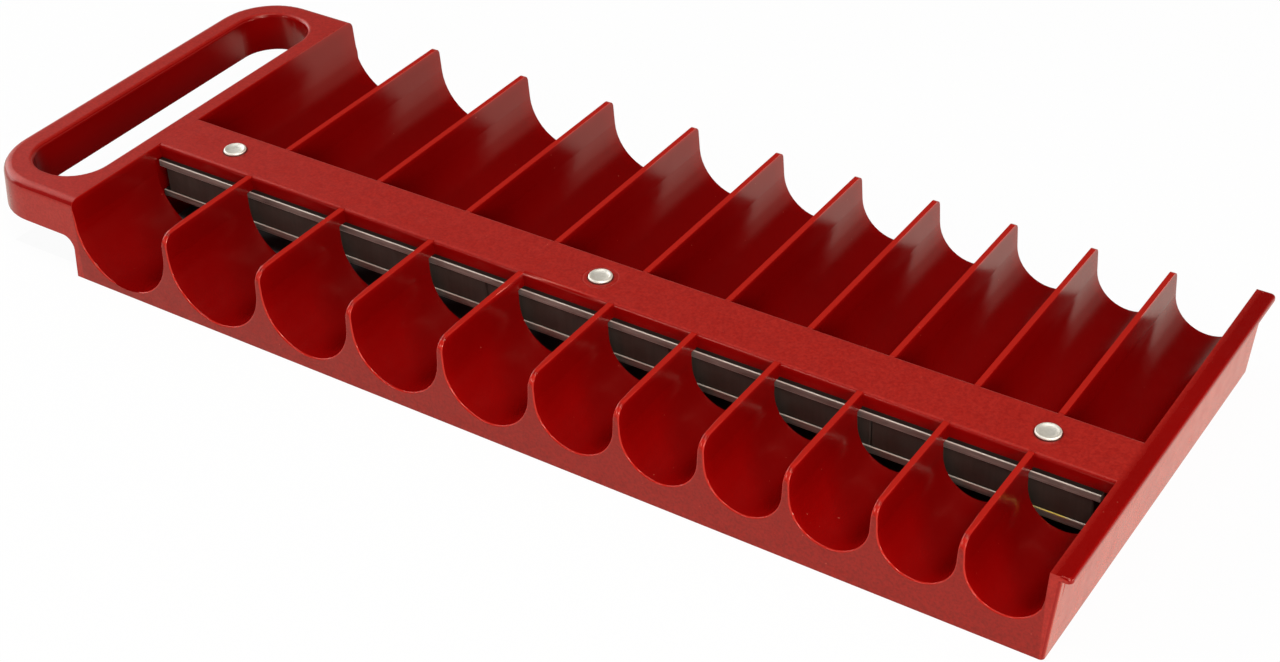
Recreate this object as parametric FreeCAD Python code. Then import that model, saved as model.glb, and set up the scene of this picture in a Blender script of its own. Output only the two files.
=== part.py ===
import FreeCAD, Part
import math
import os

# Magnetic socket tray.
# One moulding holds short sockets in a front row and deep sockets in a rear row of U-shaped
# pockets. A flat spine runs between the rows. Under it a pack of ferrite magnets between two
# steel pole strips is riveted up into a channel that is open from below.
#
# Working frame while modelling, in mm: x = 0 at the handle side of the first pocket, growing
# towards the end wall; y = 0 at the front edge of the spine, growing towards the deep sockets;
# z = 0 at the base. The finished nodes are moved so that the origin is the centre of the
# object's footprint, on the base.

# ---- pockets -------------------------------------------------------------------------------
# Clear width of each pocket at the top, from the handle to the end wall.
pocket_widths = [31.2, 29.7, 27.3, 26.1, 24.8, 22.0, 20.9, 20.1, 20.0, 18.9, 18.8]
divider_thickness = 1.33     # at the top edge
pocket_draft = 0.05          # lean of a pocket side, mm per mm of depth
socket_axis_depth = 6.5      # centre of every pocket's round floor, below the top
front_length = 33.0          # short sockets: tips of the dividers to the spine, at the top
rear_length = 64.6           # deep sockets: spine to the tips of the dividers, at the top
front_tip_round = 3.8        # round upper corners of the dividers
rear_tip_round = 1.85

# ---- moulding ------------------------------------------------------------------------------
body_height = 23.6
wall = 2.0                   # skirts, pocket shells and channel sides
front_draft = 0.027          # outward lean of the front skirt, mm per mm of depth
rear_draft = 0.011
side_draft = 0.075           # handle-side skirt
skirt_ledge = 1.5            # handle-side skirt stands this far out at the handle's underside

# ---- spine and magnet channel --------------------------------------------------------------
spine_width = 15.9
spine_thickness = 3.75
spine_round = 1.0
channel_clearance = 0.9      # round the pole strips, at the underside of the spine
channel_draft = 0.05

# ---- end wall ------------------------------------------------------------------------------
end_wall_thickness = 2.75    # at the top
end_wall_lean = 0.087        # the outer face leans in towards the base
end_wall_rear_reach = 1.3    # past the rear tips of the dividers
lip_width = 4.8
lip_thickness = 1.3
lip_rear_reach = 1.25        # past the end wall
lip_corner = 1.3
lip_edge_round = 0.7
end_wall_corner_round = 1.0
sink_groove_radius = 0.5     # short vertical mark below the lip, near the front
sink_groove_length = 6.5
sink_groove_inset = 2.6      # from the front face
sink_groove_depth = 0.25

# ---- handle --------------------------------------------------------------------------------
handle_reach = 34.9          # first pocket to the outer side of the bar
handle_rear_reach = 0.6      # past the rear tips of the dividers
handle_thickness = 11.6
handle_draft = 0.1           # outer side of the bar
handle_bar = 7.2
handle_root = 5.3            # between the slot and the first pocket
handle_corner = 17.3
handle_edge_round = 2.4
root_round = 3.5             # hollow corner between the handle's underside and the skirt
slot_front_rim = 7.9         # front face to the slot
slot_rear_rim = 7.05
slot_end_flat = 1.6          # straight stretch between the two corners at each end
slot_rim_round = 1.2

# ---- magnet pack ---------------------------------------------------------------------------
strip_width = 19.0
strip_thickness = 2.05
strip_start = 0.7            # from the handle side of the first pocket
strip_end_gap = 2.4          # from the end wall's inner face
strip_edge_round = 0.3
magnet_thickness = 7.2
magnet_width = 18.2
magnet_count = 5
magnet_inset = 1.6           # the magnets start and stop this far inside the strips
magnet_gap = 0.1
magnet_edge_chamfer = 0.35

# ---- rivets --------------------------------------------------------------------------------
first_rivet_inset = 19.3     # from the strips' ends
last_rivet_inset = 16.7
rivet_shank_radius = 1.6
rivet_hole_clearance = 0.1
rivet_head_radius = 3.0
rivet_head_height = 0.85
rivet_rim_radius = 2.4       # highest ring of the head
rivet_dish = 0.2             # the middle of the head lies this far below that ring
rivet_tail_radius = 2.5
rivet_tail_height = 1.2

# ---- derived places ------------------------------------------------------------------------
cut_margin = 3.0             # cutters run this far past the faces they break through
seam = 0.4                   # overlap of neighbouring parts of the one moulding
same_place = 0.02            # two places closer than this are taken as one
same_direction = 0.99        # cosine above which an edge counts as running along an axis
top = body_height
socket_axis_z = top - socket_axis_depth
draft_angle = math.atan(pocket_draft)
spine_middle = spine_width / 2
row_width = sum(pocket_widths) + divider_thickness * (len(pocket_widths) - 1)
handle_bottom = top - handle_thickness
upper_strip_top = top - spine_thickness
magnet_top = upper_strip_top - strip_thickness
magnet_bottom = magnet_top - magnet_thickness
lower_strip_bottom = magnet_bottom - strip_thickness
slot_corner = (handle_reach - handle_bar - handle_root - slot_end_flat) / 2
strip_end = row_width - strip_end_gap


def upright(place):
    """A vertical face at this place."""
    return lambda z: place


def leaning(place, per_mm, height=top):
    """A face at this place at the given height, moving by per_mm for each mm further down."""
    return lambda z: place + per_mm * (height - z)


front_face = leaning(-front_length, -front_draft)
rear_face = leaning(spine_width + rear_length, rear_draft)
handle_rear = leaning(spine_width + rear_length + handle_rear_reach, rear_draft)
handle_outer = leaning(-handle_reach, -handle_draft)
handle_skirt = leaning(-skirt_ledge, -side_draft, handle_bottom)
end_inner = leaning(row_width, -pocket_draft)
end_outer = leaning(row_width + end_wall_thickness, -end_wall_lean)
end_rear = spine_width + rear_length + end_wall_rear_reach
lip_rear = end_rear + lip_rear_reach
lip_outer = row_width + lip_width
channel_front = leaning(spine_middle - strip_width / 2 - channel_clearance, -channel_draft, upper_strip_top)
channel_rear = leaning(spine_middle + strip_width / 2 + channel_clearance, channel_draft, upper_strip_top)


def moved(face, distance):
    """The same face, moved sideways."""
    return lambda z: face(z) + distance


def vector(x, y, z):
    return FreeCAD.Vector(x, y, z)


X_AXIS = vector(1, 0, 0)
Y_AXIS = vector(0, 1, 0)
Z_AXIS = vector(0, 0, 1)


def tapered_block(left, right, front, rear, low, high):
    """Solid between four upright or leaning faces, from one height to another."""
    wedge = Part.makeWedge(left(low), low, -rear(low), -rear(high), left(high),
                           right(low), high, -front(low), -front(high), right(high))
    wedge.rotate(vector(0, 0, 0), X_AXIS, 90)
    return wedge


def corners_rounded(block, radius, test):
    """The block with its upright corners rounded in plan, where the test picks them."""
    corners = edges_where(block, lambda p, e: runs_along(e, Z_AXIS) and test(p))
    return block.makeFillet(radius, corners)


def cylinder_along_y(x, z, radius, y0, y1):
    return Part.makeCylinder(radius, y1 - y0, vector(x, y0, z), Y_AXIS)


def edges_where(shape, test):
    """Edges whose middle point passes the test."""
    found = []
    for edge in shape.Edges:
        middle = edge.valueAt((edge.FirstParameter + edge.LastParameter) / 2)
        if test(middle, edge):
            found.append(edge)
    return found


def close(a, b):
    return abs(a - b) < same_place


def runs_along(edge, axis):
    """True for a straight edge along the X, Y or Z axis, give or take a draft."""
    ends = [vertex.Point for vertex in edge.Vertexes]
    return len(ends) == 2 and abs((ends[1] - ends[0]).normalize().dot(axis)) > same_direction


# ---- tray moulding -------------------------------------------------------------------------

def pocket_places():
    """Centre line and top width of each pocket."""
    places = []
    x = 0.0
    for width in pocket_widths:
        places.append((x + width / 2, width))
        x += width + divider_thickness
    return places


def pocket_radius(width):
    """Radius of the round floor that meets both leaning sides of a pocket smoothly."""
    return (width / 2 - pocket_draft * socket_axis_depth) * math.cos(draft_angle)


def pocket_cutter(centre, width):
    """U-shaped space of one pocket, front and rear row in one."""
    y0 = front_face(0) - cut_margin
    y1 = rear_face(0) + cut_margin
    radius = pocket_radius(width)
    touch_x = radius * math.cos(draft_angle)
    touch_z = socket_axis_z - radius * math.sin(draft_angle)
    open_x = width / 2 + pocket_draft * cut_margin
    open_z = top + cut_margin
    left_top = vector(centre - open_x, y0, open_z)
    left_touch = vector(centre - touch_x, y0, touch_z)
    floor = vector(centre, y0, socket_axis_z - radius)
    right_touch = vector(centre + touch_x, y0, touch_z)
    right_top = vector(centre + open_x, y0, open_z)
    outline = Part.Wire([Part.LineSegment(left_top, left_touch).toShape(),
                         Part.Arc(left_touch, floor, right_touch).toShape(),
                         Part.LineSegment(right_touch, right_top).toShape(),
                         Part.LineSegment(right_top, left_top).toShape()])
    return Part.Face(outline).extrude(vector(0, y1 - y0, 0))


def pocket_comb():
    """Handle and dividers, the tips of the dividers rounded, with all the pockets cut through."""
    block = tapered_block(upright(-seam), moved(end_inner, 2 * seam), front_face, rear_face, 0, top)
    front_tips = edges_where(block, lambda p, e: close(p.z, top) and close(p.y, front_face(top)))
    block = block.makeFillet(front_tip_round, front_tips)
    rear_tips = edges_where(block, lambda p, e: close(p.z, top) and close(p.y, rear_face(top)))
    block = block.makeFillet(rear_tip_round, rear_tips)
    cutters = [pocket_cutter(centre, width) for centre, width in pocket_places()]
    return block.fuse(handle()).cut(cutters)


def spine():
    """Flat bar between the two rows, its long upper edges rounded."""
    bar = Part.makeBox(row_width + 2 * seam, spine_width, spine_thickness,
                       vector(-seam, 0, upper_strip_top))
    long_edges = edges_where(bar, lambda p, e: close(p.z, top) and runs_along(e, X_AXIS))
    return bar.makeFillet(spine_round, long_edges)


def handle_core():
    """Hollow under the bar and arms of the handle, one wall in from every face."""
    inner_end = -skirt_ledge - root_round - seam
    outer = tapered_block(moved(handle_outer, wall), upright(inner_end),
                          moved(front_face, wall), moved(handle_rear, -wall),
                          handle_bottom - cut_margin, top - wall)
    outer = corners_rounded(outer, handle_corner - wall, lambda p: p.x < inner_end - wall)
    return outer.cut(slot_block(wall, handle_bottom - 2 * cut_margin, top))


def slot_limits(grow):
    """Left, right, front and rear side of the slot, grown sideways by a distance."""
    return (handle_outer(top) + handle_bar - grow, -handle_root + grow,
            front_face(top) + slot_front_rim - grow, handle_rear(top) - slot_rear_rim + grow)


def slot_block(grow, low, high):
    x0, x1, y0, y1 = slot_limits(grow)
    block = Part.makeBox(x1 - x0, y1 - y0, high - low, vector(x0, y0, low))
    return corners_rounded(block, slot_corner + grow, lambda p: True)


def handle():
    """Loop handle with the skirt below it that closes the first pocket's side."""
    plate = tapered_block(handle_outer, upright(2 * seam), front_face, handle_rear,
                          handle_bottom, top)
    plate = corners_rounded(plate, handle_corner, lambda p: p.x < -handle_root)
    skirt = tapered_block(handle_skirt, upright(2 * seam), front_face, handle_rear,
                          0, handle_bottom)
    body = plate.fuse(skirt).removeSplitter()
    under = edges_where(body, lambda p, e: close(p.z, handle_bottom) and close(p.x, -skirt_ledge)
                        and runs_along(e, Y_AXIS))
    body = body.makeFillet(root_round, under)
    front_edge = edges_where(body, lambda p, e: close(p.z, top) and close(p.y, front_face(top))
                             and runs_along(e, X_AXIS))
    # The round runs on from the front edge along the whole outline.
    body = body.makeFillet(handle_edge_round, front_edge)
    body = body.cut(slot_block(0, handle_bottom - cut_margin, top + cut_margin))
    x0, x1, y0, y1 = slot_limits(same_place)

    def on_slot(p):
        return x0 < p.x < x1 and y0 < p.y < y1

    body = body.makeFillet(slot_rim_round, edges_where(
        body, lambda p, e: close(p.z, top) and on_slot(p)))
    return body.cut(handle_core())


def end_wall():
    """Leaning wall beyond the last pocket, with the lip along its top."""
    lip_bottom = top - lip_thickness
    wall_plate = tapered_block(end_inner, end_outer, front_face, upright(end_rear), 0, top)
    front_corner = edges_where(wall_plate, lambda p, e: close(p.x, end_outer(p.z)) and p.y < 0
                               and runs_along(e, Z_AXIS))
    wall_plate = wall_plate.makeFillet(end_wall_corner_round, front_corner)
    lip = tapered_block(end_inner, upright(lip_outer), front_face, upright(lip_rear), lip_bottom, top)
    lip = corners_rounded(lip, lip_corner, lambda p: close(p.x, lip_outer))
    upper = edges_where(lip, lambda p, e: close(p.z, top) and not close(p.x, row_width))
    lip = lip.makeFillet(lip_edge_round, upper)
    groove_x = end_outer(lip_bottom) + sink_groove_radius - sink_groove_depth
    groove_y = front_face(lip_bottom) + sink_groove_inset
    way_down = vector(sink_groove_depth / sink_groove_length - end_wall_lean, 0, -1)
    groove = Part.makeCylinder(sink_groove_radius, sink_groove_length + cut_margin,
                               vector(groove_x, groove_y, lip_bottom), way_down)
    return wall_plate.fuse(lip).cut(groove)


def magnet_channel():
    """Space under the spine for the magnet pack, open from below."""
    end_gap = moved(end_outer, -wall)
    return tapered_block(upright(strip_start - channel_clearance), end_gap,
                         channel_front, channel_rear, -cut_margin, upper_strip_top)


def underside_hollows():
    """Spaces below the pockets, between the skirts and the sides of the channel."""
    left = moved(handle_skirt, wall)
    right = moved(end_outer, -wall)
    front = tapered_block(left, right, moved(front_face, wall), moved(channel_front, -wall),
                          -cut_margin, socket_axis_z)
    rear = tapered_block(left, right, moved(channel_rear, wall), moved(rear_face, -wall),
                         -cut_margin, socket_axis_z)
    y0 = front_face(0) - cut_margin
    y1 = rear_face(0) + cut_margin
    shells = [cylinder_along_y(centre, socket_axis_z, pocket_radius(width) + wall, y0, y1)
              for centre, width in pocket_places()]
    return [front.cut(shells), rear.cut(shells)]


def socket_tray():
    tray = pocket_comb().fuse([spine(), end_wall()])
    tray = tray.cut([magnet_channel()] + underside_hollows() + rivet_holes(upper_strip_top, top))
    return tray.removeSplitter()


# ---- magnet pack ---------------------------------------------------------------------------

def rivet_places():
    first = strip_start + first_rivet_inset
    last = strip_end - last_rivet_inset
    return [first, (first + last) / 2, last]


def rivet_holes(low, high):
    radius = rivet_shank_radius + rivet_hole_clearance
    return [Part.makeCylinder(radius, high - low + 2 * cut_margin,
                              vector(x, spine_middle, low - cut_margin))
            for x in rivet_places()]


def pole_strip(low):
    """Flat steel bar with its long edges eased."""
    bar = Part.makeBox(strip_end - strip_start, strip_width, strip_thickness,
                       vector(strip_start, spine_middle - strip_width / 2, low))
    bar = bar.makeFillet(strip_edge_round, edges_where(bar, lambda p, e: runs_along(e, X_AXIS)))
    return bar.cut(rivet_holes(low, low + strip_thickness))


def magnet_block(index):
    """One ferrite block of the row between the strips."""
    first = strip_start + magnet_inset
    last = strip_end - magnet_inset
    pitch = (last - first + magnet_gap) / magnet_count
    block = Part.makeBox(pitch - magnet_gap, magnet_width, magnet_thickness,
                         vector(first + index * pitch, spine_middle - magnet_width / 2, magnet_bottom))
    upright_edges = edges_where(block, lambda p, e: runs_along(e, Z_AXIS))
    block = block.makeChamfer(magnet_edge_chamfer, upright_edges)
    return block.cut(rivet_holes(magnet_bottom, magnet_top))


def rivet(x):
    """Low-domed rivet from the spine down through the pack, clinched under the lower strip."""
    head_top = top + rivet_head_height
    tail_bottom = lower_strip_bottom - rivet_tail_height

    def at(radius, z):
        return vector(x + radius, spine_middle, z)

    outline = [at(0, head_top - rivet_dish), at(rivet_rim_radius, head_top),
               at(rivet_head_radius, top), at(rivet_shank_radius, top),
               at(rivet_shank_radius, lower_strip_bottom), at(rivet_tail_radius, lower_strip_bottom),
               at(rivet_tail_radius, tail_bottom), at(0, tail_bottom)]
    face = Part.Face(Part.makePolygon(outline + outline[:1]))
    return face.revolve(at(0, 0), Z_AXIS, 360)


# ---- assembly ------------------------------------------------------------------------------

def nodes():
    parts = {"socket_tray": socket_tray(),
             "upper_pole_strip": pole_strip(magnet_top),
             "lower_pole_strip": pole_strip(lower_strip_bottom)}
    for index in range(magnet_count):
        parts["magnet_block_%d" % (index + 1)] = magnet_block(index)
    for name, x in zip(("rivet_handle_end", "rivet_middle", "rivet_lip_end"), rivet_places()):
        parts[name] = rivet(x)
    return parts


def main():
    centre_x = (handle_outer(handle_bottom) + lip_outer) / 2
    centre_y = (front_face(0) + lip_rear) / 2
    os.makedirs("parts", exist_ok=True)
    for name, shape in nodes().items():
        shape.translate(vector(-centre_x, -centre_y, 0))
        shape.exportStep("parts/%s.step" % name)
        print(name, shape.ShapeType, len(shape.Solids), round(shape.Volume), shape.isValid())


main()
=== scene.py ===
import math
from collections import namedtuple

import bmesh
import bpy
from mathutils import Matrix, Vector


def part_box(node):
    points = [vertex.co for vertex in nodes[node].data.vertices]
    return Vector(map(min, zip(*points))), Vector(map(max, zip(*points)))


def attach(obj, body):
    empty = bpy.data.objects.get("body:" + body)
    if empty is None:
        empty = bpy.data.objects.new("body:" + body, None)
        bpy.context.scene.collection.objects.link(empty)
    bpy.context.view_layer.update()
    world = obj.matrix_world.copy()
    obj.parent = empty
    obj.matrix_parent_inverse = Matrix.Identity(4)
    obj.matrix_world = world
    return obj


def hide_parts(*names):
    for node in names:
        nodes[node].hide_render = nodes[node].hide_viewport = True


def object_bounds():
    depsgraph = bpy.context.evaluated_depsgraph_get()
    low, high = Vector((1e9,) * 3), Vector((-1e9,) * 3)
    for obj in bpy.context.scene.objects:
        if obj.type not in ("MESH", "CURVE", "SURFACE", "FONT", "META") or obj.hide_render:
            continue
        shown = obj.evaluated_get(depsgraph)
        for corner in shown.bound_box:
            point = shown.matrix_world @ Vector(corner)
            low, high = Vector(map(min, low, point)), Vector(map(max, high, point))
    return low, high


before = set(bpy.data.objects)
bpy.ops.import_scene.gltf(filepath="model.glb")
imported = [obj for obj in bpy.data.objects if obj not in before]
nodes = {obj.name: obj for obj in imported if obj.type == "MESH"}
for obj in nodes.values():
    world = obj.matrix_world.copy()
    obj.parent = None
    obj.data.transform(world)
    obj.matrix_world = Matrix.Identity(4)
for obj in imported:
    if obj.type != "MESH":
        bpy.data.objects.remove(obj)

bpy.context.view_layer.update()
cad_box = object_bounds()
scene = bpy.context.scene
rivets = [name for name in nodes if name.startswith("rivet")]
magnets = [name for name in nodes if name.startswith("magnet_block")]

MM = 0.001
TOP = 23.6 * MM                      # height of the moulding
FRONT = cad_box[0][1]                # Y of its foremost edge
LIP_EDGE = cad_box[1][0]             # X of the edge of its lip
WHITE = (1, 1, 1, 1)

# ---- camera --------------------------------------------------------------------------------
CAMERA_PLACE = Vector((0.26981, -0.371176, 0.32163))
CAMERA_AIM = Vector((0.0179, -0.003424, 0.0))
CAMERA_ROLL = math.radians(-2.1957)
CAMERA_LENS = 61.597                 # mm
SENSOR_WIDTH = 36.0                  # mm
CLIP_NEAR, CLIP_FAR = 0.01, 50.0     # nearest and farthest that it sees

# ---- light ---------------------------------------------------------------------------------
WORLD_LEVEL = 0.08                   # light that the surroundings cast on the object
SEEN_BY_CAMERA = 1.0                 # the white background
SEEN_BEHIND = 0.55                   # what reflections see at the horizon behind the object
SEEN_IN_FRONT = 0.12                 # at the horizon in front of it
SEEN_OVERHEAD = 0.02                 # and overhead
SEEN_COLOUR = (1.0, 0.88, 0.78, 1)   # warm card round the table, in reflections alone
HORIZON_BAND = (0.26, 0.44)          # sine of the elevations where the horizon fades out
SIDE_BAND = (-0.1, 0.5)              # Y of the directions where front gives way to behind
FLOOR_SIZE = 3.0
FLOOR_WHITE = (0.9, 0.9, 0.9, 1)
FLOOR_SHADED = (0.15, 0.15, 0.15, 1)  # under the moulding, in its own shade
FLOOR_GLOW = 1.0                     # strength of plain white
FLOOR_CAMERA_GLOW = 0.96             # share of the floor that shows as plain white to the camera
FLOOR_GLOSSY_GLOW = 0.95             # and in reflections
SHADE_MARGIN = (1 * MM, 12 * MM)     # X and Y round the strips, where the camera sees no glow
FOOTPRINT_MARGIN = (-6 * MM, -4 * MM)  # X and Y inside the moulding's box, where its shade lies

# Soft boxes: direction from the object (degrees clockwise from +Y, and above the floor),
# distance, width and height in metres, power in watts, colour.
NEUTRAL, WARM = (1.0, 1.0, 1.0), (1.0, 0.94, 0.86)
SOFT_BOXES = {
    "left": (268, 24, 1.2, 0.9, 0.9, 9.0, NEUTRAL),
    "key": (122, 56, 1.2, 0.3, 0.3, 5.5, WARM),
    "above": (180, 78, 1.2, 0.6, 0.6, 3.0, NEUTRAL),
    "right_low": (88, 3, 1.0, 0.5, 0.08, 4.5, WARM),
    "front_right": (131, 20, 1.2, 0.3, 0.4, 5.0, NEUTRAL),
    "front_left": (205, 25, 1.2, 0.3, 0.3, 1.6, NEUTRAL),
}

# ---- rivets --------------------------------------------------------------------------------
# Head: radius and height above the moulding in mm, from the middle of the dish to the rim's foot.
RIVET_HEAD = ((0.0, 0.22), (1.1, 0.24), (1.8, 0.33), (2.2, 0.50), (2.45, 0.68), (2.65, 0.72),
              (2.85, 0.62), (2.97, 0.44), (3.0, 0.26), (2.92, 0.10), (2.7, 0.04))
RIVET_SHANK = 1.6 * MM               # radius
RIVET_TAIL = 2.5 * MM                # radius
RIVET_TAIL_HEIGHT = 1.2 * MM
RIVET_STEPS = 64
RIVET_SHARP = math.radians(50)       # edges that turn more stay sharp
SAME_POINT = 0.002 * MM              # points this close are one

# ---- rims of the short pockets' open ends --------------------------------------------------
RIM_ROUND = 0.45 * MM
RIM_SEGMENTS = 4
RIM_TURN = math.radians(50)          # a rim's edges turn more than this
RIM_DEPTH = 5 * MM                   # and lie this close behind the foremost edge,
RIM_LOWEST = 2.5 * MM                # above this height,
RIM_BEFORE = 0.5 * MM                # at most this far before the strips
RIM_BEYOND = 1.6 * MM                # or past them
FLAT_TURN = math.radians(0.6)        # faces that turn less are one flat

# ---- zones of the moulding -----------------------------------------------------------------
# A band is the pair of values between which a zone fades in from 0 to 1.
ZONE_RAMP = 0.3 * MM                 # length of the fade at the ends of the row and the spine
ROW_BEFORE = 0.6 * MM                # the row of pockets starts this far before the strips
ROW_BEYOND = 2.0 * MM                # and ends this far past them
SPINE_HALF = 7.6 * MM                # half the flat of the spine
TOP_BAND = (TOP - 1.5 * MM, TOP - 0.5 * MM)
CREST_BAND = (TOP - 0.5 * MM, TOP - 0.1 * MM)
LEVEL_BAND = (0.6, 0.95)             # Z of the normal on level surfaces
FRONT_BAND = (FRONT + 2.5 * MM, FRONT + 2.0 * MM)
FORWARD_BAND = (-0.9, -0.98)         # Y of the normal on the front faces
TURNED = (-0.88, -0.3)               # Y of the normal on the rounded front rims
TURNED_RAMP = 0.1
LIP_START = 4.0 * MM                 # past the strips, where the spine's grain has given way
LIP_SATIN = 0.1                      # share of the spine's grain that the lip has
END_BAND = (LIP_EDGE - 6 * MM, LIP_EDGE - 5 * MM)
BELOW_LIP_BAND = (TOP - 1.0 * MM, TOP - 1.6 * MM)
OUTWARD_BAND = (0.8, 0.95)           # X of the normal on the outer face of the end wall

# ---- finishes ------------------------------------------------------------------------------
# A texture is noise with its scale per metre. Colours and roughnesses stand in pairs where a
# texture blends them, and its band is the part of its range that it blends them over. A relief
# is the depth and strength of a bump.
Texture = namedtuple("Texture", "scale detail roughness stretch", defaults=[(1, 1, 1)])
ROUGHNESS_BAND = (0.3, 0.7)          # of each texture that varies a roughness

CLOUDS = Texture(14.0, 4.0, 0.5)
CLOUD_BAND = (0.35, 0.65)
# the polished reds are darker than the satin ones: painted shade on the pockets and dividers
SHADED_POLISHED_REDS = (0.215, 0.0004, 0.0006, 1), (0.265, 0.0008, 0.0008, 1)
EDGE_HIGHLIGHT_RED = (0.46, 0.016, 0.010, 1)   # painted highlight and rub wear on the dividers' crests and the front rims
FLECKS = Texture(1500.0, 3.0, 0.6)
FLECK_BAND = (0.34, 0.66)
# the satin reds are lighter and pinker: painted sheen on the spine, handle, lip and front
SHEENED_SATIN_REDS = (0.31, 0.007, 0.005, 1), (0.43, 0.016, 0.010, 1)
# darker reds on the front skirt: painted shade
SHADED_SKIRT_REDS = (0.21, 0.002, 0.001, 1), (0.32, 0.006, 0.003, 1)
SHEEN_NOISE = Texture(220.0, 4.0, 0.6, (1, 1, 0.25))
SHEEN_BAND = (0.25, 0.7)
SHEEN_SHARES = (0.5, 1.0)            # of the painted sheen on the outer face of the end wall
# pale red of a painted reflection of the lit floor on the end wall
SHEEN_RED = (0.40, 0.035, 0.016, 1)
SPECKS = Texture(900.0, 1.0, 0.5)
SPECK_BAND = (0.80, 0.83)
SPECK_SHARE = 0.5
SPECK_RED = (0.6, 0.12, 0.08, 1)
RIVET_SHADE_BAND = (3.1 * MM, 3.5 * MM)    # painted shade in the crack round a rivet head, this far off its axis
RIVET_SHADE_SHARE = 0.85
RIVET_SHADE_COLOUR = (0.02, 0.002, 0.002, 1)
MOTTLE = Texture(260.0, 5.0, 0.6)
POLISHED_ROUGHNESS = (0.18, 0.26)
SATIN_ROUGHNESS = (0.38, 0.50)
EDGE_ROUGHNESS = 0.6                 # share of the roughness that the crests and rims keep
WAVES = Texture(60.0, 2.0, 0.5)
WAVE_RELIEF = (0.12 * MM, 0.25)
GRAIN = Texture(2600.0, 2.0, 0.5)
GRAIN_RELIEF = (0.02 * MM, 0.6)
RING_RADIUS = 4.3 * MM               # of the ring pressed round the middle rivet
RING_WIDTH = 0.35 * MM
RING_RELIEF = (0.12 * MM, 0.7)
PLASTIC_IOR = 1.5
PLASTIC_TINT = (1.0, 0.6, 0.5, 1)    # of what it mirrors

STEEL_STREAKS = Texture(900.0, 4.0, 0.6, (0.06, 1, 1))
STREAK_BAND = (0.35, 0.68)
STREAK_RELIEF = (0.03 * MM, 0.5)
STEEL_BROWNS = (0.20, 0.150, 0.130, 1), (0.36, 0.290, 0.255, 1)
BLOTCHES = Texture(260.0, 5.0, 0.6, (0.4, 1, 1))
BLOTCH_BAND = (0.5, 0.8)
BLOTCH_BROWN = (0.10, 0.070, 0.060, 1)
LEDGE_BAND = (0.95, 0.99)            # Z of the normal on a strip's upper face
# painted shade on the upper faces of the strips
LEDGE_SHADE = (0.018, 0.016, 0.013, 1)
CORNER_BAND = (0.10, 0.35)           # lesser of the normal's Y and Z on a strip's eased edges
WEAR_BAND = (0.25, 0.45)             # of the blotches, where the wear spares an edge
WEAR_SHARES = (0.2, 1.0)
WORN_STEEL = (0.68, 0.60, 0.52, 1)
PATCH_START = 15 * MM               # before the lower strip's end
PATCH_END = 8 * MM
PATCH_RAMP = 2 * MM
PATCH_TOP = 0.5 * MM                # above the lower strip, where the yellow ends
PATCH_FULL = 0.2 * MM               # and where it is whole
PATCH_YELLOW = (0.80, 0.62, 0.10, 1)
STEEL_METALLIC = 0.45
STEEL_MOTTLE = Texture(500.0, 4.0, 0.5)
STEEL_ROUGHNESS = (0.34, 0.5)

FERRITE_LINES = Texture(700.0, 4.0, 0.65, (1, 1, 0.04))
LINE_BAND = (0.3, 0.7)
LINE_RELIEF = (0.04 * MM, 0.5)
FERRITE_BROWNS = (0.038, 0.029, 0.023, 1), (0.052, 0.040, 0.032, 1)
FERRITE_MOTTLE = Texture(400.0, 5.0, 0.5)
FERRITE_ROUGHNESS = (0.42, 0.62)

STAINS = Texture(700.0, 4.0, 0.6)
STAIN_BAND = (0.35, 0.7)
RIVET_WHITES = (0.97, 0.94, 0.86, 1), (0.82, 0.79, 0.70, 1)
RIVET_METALLIC = 0.65
RIVET_ROUGHNESS = (0.45, 0.58)
SCRATCHES = Texture(2500.0, 2.0, 0.5, (1, 0.15, 1))
SCRATCH_RELIEF = (0.02 * MM, 0.4)


# ---- node helpers --------------------------------------------------------------------------

def fill(tree, node, inputs):
    """Gives a node its inputs. An input may be a value or another node's output."""
    for name, value in inputs.items():
        if isinstance(value, bpy.types.NodeSocket):
            tree.links.new(value, node.inputs[name])
        else:
            node.inputs[name].default_value = value


def add_node(tree, kind, inputs=None, **settings):
    """A node with its settings and inputs."""
    node = tree.nodes.new(kind)
    for name, value in settings.items():
        setattr(node, name, value)
    fill(tree, node, inputs or {})
    return node


def new_material(name):
    """A material with a Principled shader, and its node tree."""
    material = bpy.data.materials.new(name)
    material.use_nodes = True
    tree = material.node_tree
    return material, tree, tree.nodes["Principled BSDF"]


def axes(tree, vector):
    """A vector's X, Y and Z."""
    return add_node(tree, "ShaderNodeSeparateXYZ", {0: vector}).outputs


def place_and_facing(tree):
    """X, Y and Z of the place on the object, in metres, and of the surface's normal."""
    coordinates = add_node(tree, "ShaderNodeTexCoord").outputs
    return axes(tree, coordinates["Object"]), axes(tree, coordinates["Normal"])


def object_place(tree, stretch):
    """Place on the object in metres, each axis multiplied by its stretch."""
    place = add_node(tree, "ShaderNodeTexCoord").outputs["Object"]
    return add_node(tree, "ShaderNodeVectorMath", {0: place, 1: stretch},
                    operation="MULTIPLY").outputs[0]


def noise(tree, texture):
    """Noise of a texture over the object."""
    return add_node(tree, "ShaderNodeTexNoise",
                    {"Vector": object_place(tree, texture.stretch), "Scale": texture.scale,
                     "Detail": texture.detail, "Roughness": texture.roughness}).outputs["Fac"]


def remap(tree, value, low, high, to_low=0.0, to_high=1.0, smooth=False):
    """Value from low..high to to_low..to_high, clamped."""
    return add_node(tree, "ShaderNodeMapRange",
                    {"Value": value, "From Min": low, "From Max": high,
                     "To Min": to_low, "To Max": to_high},
                    interpolation_type="SMOOTHSTEP" if smooth else "LINEAR").outputs["Result"]


def math_node(tree, operation, first, second=0.0):
    """Result of an operation on one or two values."""
    return add_node(tree, "ShaderNodeMath", {0: first, 1: second}, operation=operation).outputs[0]


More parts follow.
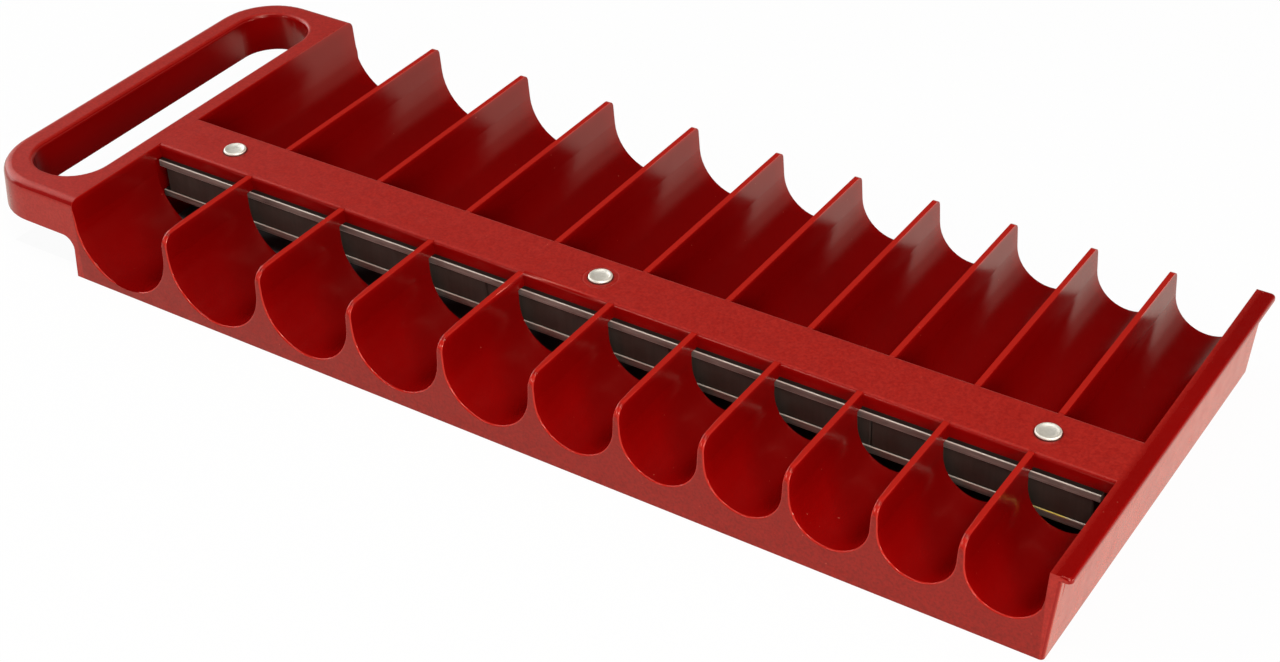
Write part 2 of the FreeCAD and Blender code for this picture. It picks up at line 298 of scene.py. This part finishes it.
def multiply(tree, product, *factors):
    """Product of two or more values."""
    for factor in factors:
        product = math_node(tree, "MULTIPLY", product, factor)
    return product


def invert(tree, share):
    """What a share leaves of the whole."""
    return math_node(tree, "SUBTRACT", 1.0, share)


def within(tree, value, low, high, ramp):
    """1 from low to high, 0 outside, with a short ramp."""
    return multiply(tree, remap(tree, value, low - ramp, low), remap(tree, value, high + ramp, high))


def mix_value(tree, share, first, second):
    """First where the share is 0, second where it is 1."""
    return remap(tree, share, 0.0, 1.0, first, second)


def mix_colour(tree, share, first, second):
    """Blend of two colours. The Mix node's sockets share names, so they go by number."""
    colour_a, colour_b, result = 6, 7, 2
    node = add_node(tree, "ShaderNodeMix", {0: share}, data_type="RGBA")
    fill(tree, node, {colour_a: first, colour_b: second})
    return node.outputs[result]


def bump(tree, height, relief, under=None):
    """Normal with a relief in it, over the normal that lies under it."""
    distance, strength = relief
    inputs = {"Height": height, "Distance": distance, "Strength": strength}
    if under is not None:
        inputs["Normal"] = under
    return add_node(tree, "ShaderNodeBump", inputs).outputs["Normal"]


# ---- zones of the moulding -----------------------------------------------------------------

def tray_zones(tree):
    """Masks: the grained front, spine, handle and lip; the crests and rims with painted highlight and
    rub wear; the front skirt.
    """
    place, facing = place_and_facing(tree)
    low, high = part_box("upper_pole_strip")
    spine = (low[1] + high[1]) / 2
    in_row = within(tree, place["X"], low[0] - ROW_BEFORE, high[0] + ROW_BEYOND, ZONE_RAMP)
    on_spine = within(tree, place["Y"], spine - SPINE_HALF, spine + SPINE_HALF, ZONE_RAMP)
    on_dividers = multiply(tree, in_row, invert(tree, on_spine))
    level = multiply(tree, remap(tree, place["Z"], *TOP_BAND), remap(tree, facing["Z"], *LEVEL_BAND))
    off_lip = remap(tree, place["X"], high[0] + ROW_BEYOND, high[0] + LIP_START, 1.0, LIP_SATIN)
    top_grain = multiply(tree, level, invert(tree, on_dividers), off_lip)
    near_front = remap(tree, place["Y"], *FRONT_BAND)
    front_grain = multiply(tree, near_front, remap(tree, facing["Y"], *FORWARD_BAND))
    satin = math_node(tree, "MAXIMUM", top_grain, front_grain)
    crests = multiply(tree, on_dividers, remap(tree, place["Z"], *CREST_BAND))
    rims = multiply(tree, in_row, near_front, within(tree, facing["Y"], *TURNED, TURNED_RAMP))
    skirt = multiply(tree, in_row, front_grain)
    return satin, math_node(tree, "MAXIMUM", crests, rims), skirt


def end_face_sheen(tree):
    """1 on the outer face of the end wall, below its lip, where a reflection of the floor is painted
    in.
    """
    place, facing = place_and_facing(tree)
    return multiply(tree, remap(tree, place["X"], *END_BAND), remap(tree, place["Z"], *BELOW_LIP_BAND),
                    remap(tree, facing["X"], *OUTWARD_BAND))


def off_rivet(tree, name):
    """Distance from a rivet's axis, in metres."""
    low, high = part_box(name)
    middle = ((low[0] + high[0]) / 2, (low[1] + high[1]) / 2, 0)
    place = object_place(tree, (1, 1, 0))
    return add_node(tree, "ShaderNodeVectorMath", {0: place, 1: middle},
                    operation="DISTANCE").outputs["Value"]


def shade_round_rivets(tree):
    """Share of painted shade in the crack round the rivet heads."""
    nearest = off_rivet(tree, rivets[0])
    for name in rivets[1:]:
        nearest = math_node(tree, "MINIMUM", nearest, off_rivet(tree, name))
    return remap(tree, nearest, *RIVET_SHADE_BAND, RIVET_SHADE_SHARE, 0.0)


def pressed_ring(tree, name):
    """Height of a faint ring pressed into the plastic round a rivet, 1 beside the ring."""
    off_ring = math_node(tree, "SUBTRACT", off_rivet(tree, name), RING_RADIUS)
    return remap(tree, math_node(tree, "ABSOLUTE", off_ring), 0.0, RING_WIDTH, smooth=True)


# ---- materials -----------------------------------------------------------------------------

def red_plastic():
    """Polished moulding with a satin spine, handle and skirt; painted shade, sheen and highlights, and
    rub wear on the edges.
    """
    material, tree, shader = new_material("red_plastic")
    satin, edges, skirt = tray_zones(tree)
    clouds = remap(tree, noise(tree, CLOUDS), *CLOUD_BAND)
    # painted shade in the polished parts, painted sheen on the satin parts
    shaded_red = mix_colour(tree, clouds, *SHADED_POLISHED_REDS)
    # painted highlight and rub wear on the crests and rims
    shaded_red = mix_colour(tree, edges, shaded_red, EDGE_HIGHLIGHT_RED)
    flecks = remap(tree, noise(tree, FLECKS), *FLECK_BAND)
    sheened_red = mix_colour(tree, flecks, *SHEENED_SATIN_REDS)
    # painted shade on the front skirt
    sheened_red = mix_colour(tree, skirt, sheened_red, mix_colour(tree, flecks, *SHADED_SKIRT_REDS))
    colour = mix_colour(tree, satin, shaded_red, sheened_red)
    # painted reflection of the floor on the end wall's outer face
    sheen = remap(tree, noise(tree, SHEEN_NOISE), *SHEEN_BAND, *SHEEN_SHARES)
    colour = mix_colour(tree, multiply(tree, end_face_sheen(tree), sheen), colour, SHEEN_RED)
    specks = remap(tree, noise(tree, SPECKS), *SPECK_BAND, 0.0, SPECK_SHARE)
    colour = mix_colour(tree, specks, colour, SPECK_RED)
    # painted shade round the rivet heads
    colour = mix_colour(tree, shade_round_rivets(tree), colour, RIVET_SHADE_COLOUR)
    mottle = noise(tree, MOTTLE)
    rough = mix_value(tree, satin, remap(tree, mottle, *ROUGHNESS_BAND, *POLISHED_ROUGHNESS),
                      remap(tree, mottle, *ROUGHNESS_BAND, *SATIN_ROUGHNESS))
    rough = multiply(tree, rough, mix_value(tree, edges, 1.0, EDGE_ROUGHNESS))
    normal = bump(tree, noise(tree, WAVES), WAVE_RELIEF)
    normal = bump(tree, noise(tree, GRAIN), GRAIN_RELIEF, normal)
    normal = bump(tree, pressed_ring(tree, "rivet_middle"), RING_RELIEF, normal)
    fill(tree, shader, {"Base Color": colour, "Roughness": rough, "Normal": normal,
                        "IOR": PLASTIC_IOR, "Specular Tint": PLASTIC_TINT})
    return material


def worn_corners(tree, facing):
    """1 on the eased long edges of a strip, 0 on its flats."""
    across = math_node(tree, "ABSOLUTE", facing["Y"])
    upward = math_node(tree, "ABSOLUTE", facing["Z"])
    return remap(tree, math_node(tree, "MINIMUM", across, upward), *CORNER_BAND)


def yellow_patch(tree, place):
    """1 on a short stretch of the lower strip's worn edge in the last pocket, which is yellow there.
    """
    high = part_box("lower_pole_strip")[1]
    along = within(tree, place["X"], high[0] - PATCH_START, high[0] - PATCH_END, PATCH_RAMP)
    return multiply(tree, along, remap(tree, place["Z"], high[2] + PATCH_TOP, high[2] + PATCH_FULL))


def pole_steel():
    """Browned steel, streaked along its length, worn bright on its long edges, with painted shade on
    its upper faces.
    """
    material, tree, shader = new_material("pole_steel")
    place, facing = place_and_facing(tree)
    streaks = noise(tree, STEEL_STREAKS)
    blotches = noise(tree, BLOTCHES)
    colour = mix_colour(tree, remap(tree, streaks, *STREAK_BAND), *STEEL_BROWNS)
    colour = mix_colour(tree, remap(tree, blotches, *BLOTCH_BAND), colour, BLOTCH_BROWN)
    # painted shade on the strips' upper faces
    colour = mix_colour(tree, remap(tree, facing["Z"], *LEDGE_BAND), colour, LEDGE_SHADE)
    worn = multiply(tree, worn_corners(tree, facing), remap(tree, blotches, *WEAR_BAND, *WEAR_SHARES))
    colour = mix_colour(tree, worn, colour, WORN_STEEL)
    colour = mix_colour(tree, multiply(tree, worn, yellow_patch(tree, place)), colour, PATCH_YELLOW)
    rough = remap(tree, noise(tree, STEEL_MOTTLE), *ROUGHNESS_BAND, *STEEL_ROUGHNESS)
    fill(tree, shader, {"Base Color": colour, "Metallic": STEEL_METALLIC, "Roughness": rough,
                        "Normal": bump(tree, streaks, STREAK_RELIEF)})
    return material


def ferrite():
    """Dull dark ceramic with faint upright lines."""
    material, tree, shader = new_material("ferrite")
    lines = noise(tree, FERRITE_LINES)
    colour = mix_colour(tree, remap(tree, lines, *LINE_BAND), *FERRITE_BROWNS)
    rough = remap(tree, noise(tree, FERRITE_MOTTLE), *ROUGHNESS_BAND, *FERRITE_ROUGHNESS)
    fill(tree, shader, {"Base Color": colour, "Roughness": rough,
                        "Normal": bump(tree, lines, LINE_RELIEF)})
    return material


def rivet_metal():
    """Pale stained metal with fine scratches."""
    material, tree, shader = new_material("rivet_metal")
    stains = noise(tree, STAINS)
    colour = mix_colour(tree, remap(tree, stains, *STAIN_BAND), *RIVET_WHITES)
    rough = remap(tree, stains, *ROUGHNESS_BAND, *RIVET_ROUGHNESS)
    fill(tree, shader, {"Base Color": colour, "Metallic": RIVET_METALLIC, "Roughness": rough,
                        "Normal": bump(tree, noise(tree, SCRATCHES), SCRATCH_RELIEF)})
    return material


def dress(node_names, material):
    """Gives CAD nodes a material in place of their own."""
    for name in node_names:
        mesh = nodes[name].data
        mesh.materials.clear()
        mesh.materials.append(material)


# ---- rims of the short pockets' open ends --------------------------------------------------

def rim_weights():
    """Node group that gives the edges round the short pockets' open ends their bevel weight."""
    tree = bpy.data.node_groups.new("rim_weights", "GeometryNodeTree")
    tree.is_modifier = True
    for side in ("INPUT", "OUTPUT"):
        tree.interface.new_socket("Geometry", in_out=side, socket_type="NodeSocketGeometry")
    low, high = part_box("upper_pole_strip")
    place = axes(tree, add_node(tree, "GeometryNodeInputPosition").outputs[0])
    turn = add_node(tree, "GeometryNodeInputMeshEdgeAngle").outputs["Unsigned Angle"]
    weight = multiply(tree, math_node(tree, "GREATER_THAN", turn, RIM_TURN),
                      math_node(tree, "LESS_THAN", place["Y"], FRONT + RIM_DEPTH),
                      math_node(tree, "GREATER_THAN", place["Z"], RIM_LOWEST),
                      math_node(tree, "GREATER_THAN", place["X"], low[0] - RIM_BEFORE),
                      math_node(tree, "LESS_THAN", place["X"], high[0] + RIM_BEYOND))
    start = add_node(tree, "NodeGroupInput")
    store = add_node(tree, "GeometryNodeStoreNamedAttribute",
                     {"Geometry": start.outputs[0], "Name": "bevel_weight_edge", "Value": weight},
                     data_type="FLOAT", domain="EDGE")
    add_node(tree, "NodeGroupOutput", {0: store.outputs[0]})
    return tree


def round_rims(node):
    """Rounds the short pockets' open ends with modifiers, the CAD mesh left as it is."""
    modifiers = nodes[node].modifiers
    modifiers.new("weld", "WELD").merge_threshold = SAME_POINT
    flats = modifiers.new("flats", "DECIMATE")
    flats.decimate_type = "DISSOLVE"
    flats.angle_limit = FLAT_TURN
    modifiers.new("rim_weights", "NODES").node_group = rim_weights()
    rims = modifiers.new("rims", "BEVEL")
    rims.limit_method = "WEIGHT"
    rims.width = RIM_ROUND
    rims.segments = RIM_SEGMENTS
    rims.use_clamp_overlap = False
    rims.harden_normals = True


# ---- rivets --------------------------------------------------------------------------------

def make_rivet(node, material):
    """Turned rivet in place of a CAD one: rolled rim round a shallow dish, shank, clinched tail."""
    low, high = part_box(node)
    x, y = (low[0] + high[0]) / 2, (low[1] + high[1]) / 2
    tail_top = low[2] + RIVET_TAIL_HEIGHT
    outline = [(radius * MM, TOP + height * MM) for radius, height in RIVET_HEAD]
    outline += [(RIVET_SHANK, outline[-1][1]), (RIVET_SHANK, tail_top),
                (RIVET_TAIL, tail_top), (RIVET_TAIL, low[2]), (0.0, low[2])]
    mesh = bmesh.new()
    points = [mesh.verts.new((x + radius, y, z)) for radius, z in outline]
    edges = [mesh.edges.new(pair) for pair in zip(points, points[1:])]
    bmesh.ops.spin(mesh, geom=points + edges, cent=(x, y, 0), axis=(0, 0, 1), angle=math.tau,
                   steps=RIVET_STEPS, use_merge=True)
    bmesh.ops.remove_doubles(mesh, verts=mesh.verts, dist=SAME_POINT)
    bmesh.ops.recalc_face_normals(mesh, faces=mesh.faces)
    data = bpy.data.meshes.new(node + "_turned")
    mesh.to_mesh(data)
    mesh.free()
    data.shade_smooth()
    data.set_sharp_from_angle(angle=RIVET_SHARP)
    data.materials.append(material)
    rivet = bpy.data.objects.new(node + "_turned", data)
    scene.collection.objects.link(rivet)
    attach(rivet, "root")
    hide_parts(node)


# ---- stage ---------------------------------------------------------------------------------

def aimed(place, aim):
    """Matrix of a camera or lamp that stands at a place and looks at its aim."""
    facing = (aim - place).to_track_quat("-Z", "Y").to_matrix().to_4x4()
    return Matrix.Translation(place) @ facing


def make_camera():
    """The camera that the scene is seen through."""
    data = bpy.data.cameras.new("camera")
    data.lens = CAMERA_LENS
    data.sensor_width = SENSOR_WIDTH
    data.clip_start, data.clip_end = CLIP_NEAR, CLIP_FAR
    camera = bpy.data.objects.new("camera", data)
    scene.collection.objects.link(camera)
    camera.matrix_world = aimed(CAMERA_PLACE, CAMERA_AIM) @ Matrix.Rotation(CAMERA_ROLL, 4, "Z")
    scene.camera = camera


def mirrored_ray(tree, path):
    """1 for the rays that reflections and transparent parts send out."""
    return math_node(tree, "MAXIMUM", path["Is Glossy Ray"], path["Is Transmission Ray"])


def outside(tree, node, margins):
    """0 on the floor below a node, where the object's own shade lies, and 1 elsewhere."""
    corners = [nodes[node].matrix_world @ Vector(corner) for corner in nodes[node].bound_box]
    place = axes(tree, add_node(tree, "ShaderNodeTexCoord").outputs["Object"])
    inside = 1.0
    for axis, margin in enumerate(margins):
        low = min(corner[axis] for corner in corners) - margin
        high = max(corner[axis] for corner in corners) + margin
        inside = multiply(tree, inside, math_node(tree, "GREATER_THAN", place[axis], low),
                          math_node(tree, "LESS_THAN", place[axis], high))
    return invert(tree, inside)


def make_floor():
    """White table that glows for the camera and in reflections, save in the object's own shade."""
    half = FLOOR_SIZE / 2
    mesh = bpy.data.meshes.new("floor")
    corners = [(-half, -half, 0), (half, -half, 0), (half, half, 0), (-half, half, 0)]
    mesh.from_pydata(corners, [], [(0, 1, 2, 3)])
    floor = bpy.data.objects.new("floor", mesh)
    scene.collection.objects.link(floor)
    material, tree, _ = new_material("floor_white")
    tree.nodes.clear()
    path = add_node(tree, "ShaderNodeLightPath").outputs
    mirrored = mirrored_ray(tree, path)
    beside = outside(tree, "socket_tray", FOOTPRINT_MARGIN)
    lit = outside(tree, "lower_pole_strip", SHADE_MARGIN)
    matt = add_node(tree, "ShaderNodeBsdfDiffuse",
                    {"Color": mix_colour(tree, beside, FLOOR_SHADED, FLOOR_WHITE)})
    glow = add_node(tree, "ShaderNodeEmission",
                    {"Color": mix_colour(tree, mirrored, WHITE, SEEN_COLOUR), "Strength": FLOOR_GLOW})
    share = math_node(tree, "MAXIMUM",
                      multiply(tree, path["Is Camera Ray"], FLOOR_CAMERA_GLOW, lit),
                      multiply(tree, mirrored, FLOOR_GLOSSY_GLOW, beside))
    mixed = add_node(tree, "ShaderNodeMixShader",
                     {0: share, 1: matt.outputs[0], 2: glow.outputs[0]})
    add_node(tree, "ShaderNodeOutputMaterial", {"Surface": mixed.outputs[0]})
    mesh.materials.append(material)


def make_world():
    """White to the camera, a faint light on the object, and a warm horizon in reflections."""
    world = bpy.data.worlds.new("studio")
    scene.world = world
    world.use_nodes = True
    tree = world.node_tree
    tree.nodes.clear()
    path = add_node(tree, "ShaderNodeLightPath").outputs
    mirrored = mirrored_ray(tree, path)
    towards = axes(tree, add_node(tree, "ShaderNodeTexCoord").outputs["Generated"])
    side = remap(tree, towards["Y"], *SIDE_BAND, SEEN_IN_FRONT, SEEN_BEHIND, smooth=True)
    horizon = remap(tree, towards["Z"], *HORIZON_BAND, 1.0, 0.0, smooth=True)
    seen = math_node(tree, "ADD", multiply(tree, side, horizon), SEEN_OVERHEAD)
    strength = mix_value(tree, mirrored, WORLD_LEVEL, seen)
    strength = mix_value(tree, path["Is Camera Ray"], strength, SEEN_BY_CAMERA)
    light = add_node(tree, "ShaderNodeBackground",
                     {"Color": mix_colour(tree, mirrored, WHITE, SEEN_COLOUR), "Strength": strength})
    add_node(tree, "ShaderNodeOutputWorld", {"Surface": light.outputs[0]})


def make_soft_box(name, round_about, above, distance, width, height, power, colour):
    """Area lamp that faces the object."""
    turn, rise = math.radians(round_about), math.radians(above)
    direction = Vector((math.sin(turn) * math.cos(rise), math.cos(turn) * math.cos(rise),
                        math.sin(rise)))
    data = bpy.data.lights.new(name, "AREA")
    data.shape = "RECTANGLE"
    data.size, data.size_y = width, height
    data.energy = power
    data.color = colour
    lamp = bpy.data.objects.new(name, data)
    scene.collection.objects.link(lamp)
    lamp.matrix_world = aimed(distance * direction, Vector())


make_camera()
make_floor()
make_world()
for name, setting in SOFT_BOXES.items():
    make_soft_box(name, *setting)

dress(["socket_tray"], red_plastic())
dress(["upper_pole_strip", "lower_pole_strip"], pole_steel())
dress(magnets, ferrite())
rivet_finish = rivet_metal()
for name in rivets:
    make_rivet(name, rivet_finish)
round_rims("socket_tray")

scene.view_settings.view_transform = "Standard"
